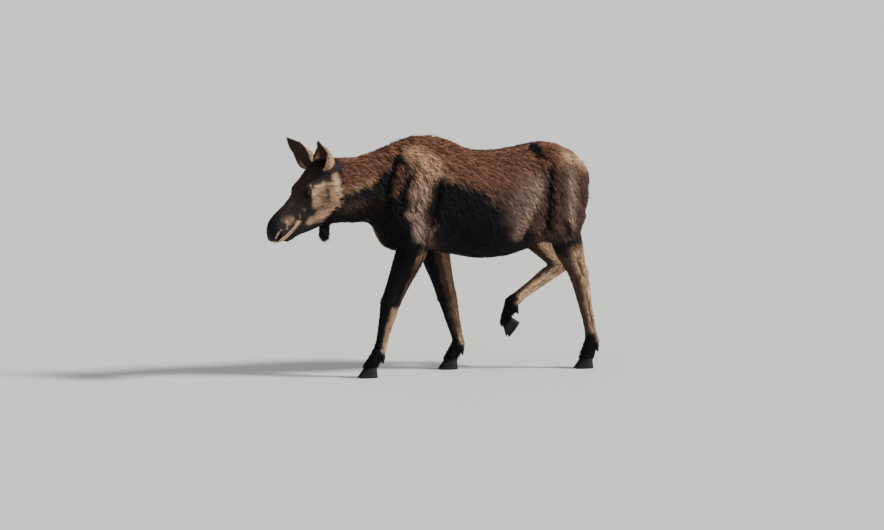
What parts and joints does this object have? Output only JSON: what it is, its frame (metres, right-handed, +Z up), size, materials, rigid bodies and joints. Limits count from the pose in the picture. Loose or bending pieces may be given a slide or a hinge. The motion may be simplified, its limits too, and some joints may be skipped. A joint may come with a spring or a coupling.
{
  "type": "moose",
  "caption": "Life-size still model of a young cow moose wading, with long legs, one hind foot lifted, a humped shoulder, a drooping muzzle and a bell under the throat.",
  "frame": {"origin": "on the ground, under the middle of the whole length and width", "axes": "+Z up; the animal faces -X and its left side faces -Y"},
  "size_m": [2.4091, 0.5234, 1.6505],
  "materials": {
    "coat_brown": "reddish brown coat, short and sleek with visible hair strokes, shaggier along the mane and hump, near black on the belly",
    "coat_dark": "very dark brown short hair of the face and legs, with greyish tan cheeks and cream rear edges on the legs",
    "coat_tan": "tan and cream hair of the ears, dark inside",
    "horn": "dark grey horn, satin, with fine growth lines",
    "eye": "very dark brown eye, wet and glossy"
  },
  "bodies": {
    "root": {"trunk": "coat_brown", "neck": "coat_brown", "tail": "coat_brown", "head": "coat_dark", "lower_jaw": "coat_dark", "bell": "coat_dark", "ear_left": "coat_tan", "ear_right": "coat_tan", "eye_left": "eye", "eye_right": "eye", "fore_left_forearm": "coat_brown", "fore_left_cannon": "coat_dark", "fore_left_pastern": "coat_dark", "fore_left_claw_outer": "horn", "fore_left_dewclaw_outer": "horn", "fore_left_claw_inner": "horn", "fore_left_dewclaw_inner": "horn", "fore_right_forearm": "coat_brown", "fore_right_cannon": "coat_dark", "fore_right_pastern": "coat_dark", "fore_right_claw_outer": "horn", "fore_right_dewclaw_outer": "horn", "fore_right_claw_inner": "horn", "fore_right_dewclaw_inner": "horn", "hind_left_gaskin": "coat_brown", "hind_left_cannon": "coat_dark", "hind_left_pastern": "coat_dark", "hind_left_claw_outer": "horn", "hind_left_dewclaw_outer": "horn", "hind_left_claw_inner": "horn", "hind_left_dewclaw_inner": "horn", "hind_right_gaskin": "coat_brown", "hind_right_cannon": "coat_dark", "hind_right_pastern": "coat_dark", "hind_right_claw_outer": "horn", "hind_right_dewclaw_outer": "horn", "hind_right_claw_inner": "horn", "hind_right_dewclaw_inner": "horn"}
  },
  "joints": []
}
